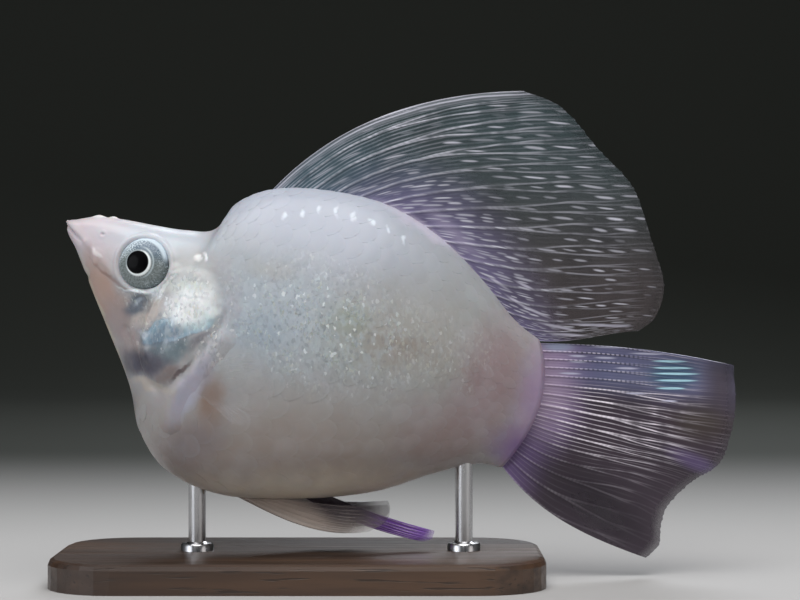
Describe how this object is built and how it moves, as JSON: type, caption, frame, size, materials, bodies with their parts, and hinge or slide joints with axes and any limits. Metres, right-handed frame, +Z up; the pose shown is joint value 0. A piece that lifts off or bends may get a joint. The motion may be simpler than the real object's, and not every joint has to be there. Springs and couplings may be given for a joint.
{
  "type": "balloon molly fish model",
  "caption": "Life-size still model of a pearly white balloon molly with a tall sail-like dorsal fin, swimming, held by a plain display stand.",
  "frame": {"origin": "centre of the underside of the stand's base", "axes": "+Z up, -X towards the fish's head, -Y towards its left flank"},
  "size_m": [0.0706, 0.0268, 0.0505],
  "materials": {
    "pearly_skin": "glossy pearly white scaled skin",
    "gill_cover_silver": "shiny silver blue skin",
    "eye": "wet glossy eye",
    "fin_membrane": "smoky translucent membrane with pale rays",
    "violet_fin": "violet translucent membrane",
    "dark_wood": "satin dark stained",
    "rod_steel": "brushed"
  },
  "bodies": {
    "root": {"head": "pearly_skin", "jaw_upper": "pearly_skin", "jaw_lower": "pearly_skin", "trunk": "pearly_skin", "tail_stalk": "pearly_skin", "gill_cover_left": "gill_cover_silver", "gill_cover_right": "gill_cover_silver", "eye_left": "eye", "eye_right": "eye", "dorsal_fin": "fin_membrane", "tail_fin": "fin_membrane", "pectoral_fin_left": "fin_membrane", "pectoral_fin_right": "fin_membrane", "pelvic_fin_left": "violet_fin", "pelvic_fin_right": "violet_fin", "anal_fin": "violet_fin", "stand_base": "dark_wood", "stand_rod_front": "rod_steel", "stand_rod_rear": "rod_steel"}
  },
  "joints": []
}
